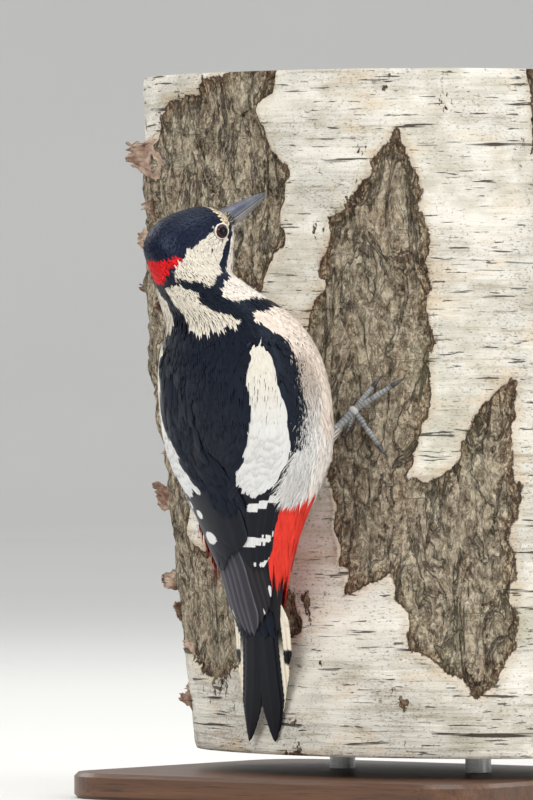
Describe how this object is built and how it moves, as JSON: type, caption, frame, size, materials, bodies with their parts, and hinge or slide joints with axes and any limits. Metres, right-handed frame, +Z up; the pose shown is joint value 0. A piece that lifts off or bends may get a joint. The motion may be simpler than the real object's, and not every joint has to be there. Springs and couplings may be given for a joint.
{
  "type": "great spotted woodpecker",
  "caption": "Still life-size model of a male great spotted woodpecker clinging to a cut length of birch trunk, on a plain flat base with rods.",
  "frame": {"origin": "centre of the underside of the stand's base", "axes": "+Z up; +Y from the bird's back towards the trunk that it clings to; +X to the bird's right"},
  "size_m": [0.2237, 0.2284, 0.28],
  "materials": {
    "plumage_dark": "blue-black feathers with a soft gloss, with white wing bars and red nape and undertail coverts",
    "plumage_pale": "buff-white matt feathers",
    "bill_horn": "slate-grey horn, satin",
    "eye": "crimson-brown iris under a clear wet cornea",
    "leg_scale": "lead-grey scaly skin",
    "claw": "dark horn, satin",
    "birch": "birch bark, papery white with rough brown-grey patches, and sawn ends",
    "stand_wood": "dark stained wood, satin",
    "stand_metal": "satin steel rod"
  },
  "bodies": {
    "root": {"head": "plumage_dark", "neck": "plumage_pale", "trunk": "plumage_dark", "wing_left": "plumage_dark", "wing_right": "plumage_dark", "tail": "plumage_dark", "bill_upper": "bill_horn", "bill_lower": "bill_horn", "eye_left": "eye", "eye_right": "eye", "thigh_left": "plumage_pale", "thigh_right": "plumage_pale", "tarsus_left": "leg_scale", "tarsus_right": "leg_scale", "foot_left": "leg_scale", "foot_right": "leg_scale", "claw_left_inner_front": "claw", "claw_left_outer_front": "claw", "claw_left_outer_rear": "claw", "claw_left_inner_rear": "claw", "claw_right_inner_front": "claw", "claw_right_outer_front": "claw", "claw_right_outer_rear": "claw", "claw_right_inner_rear": "claw", "perch_log": "birch", "stand_base": "stand_wood", "stand_rod_1": "stand_metal", "stand_rod_2": "stand_metal"}
  },
  "joints": []
}
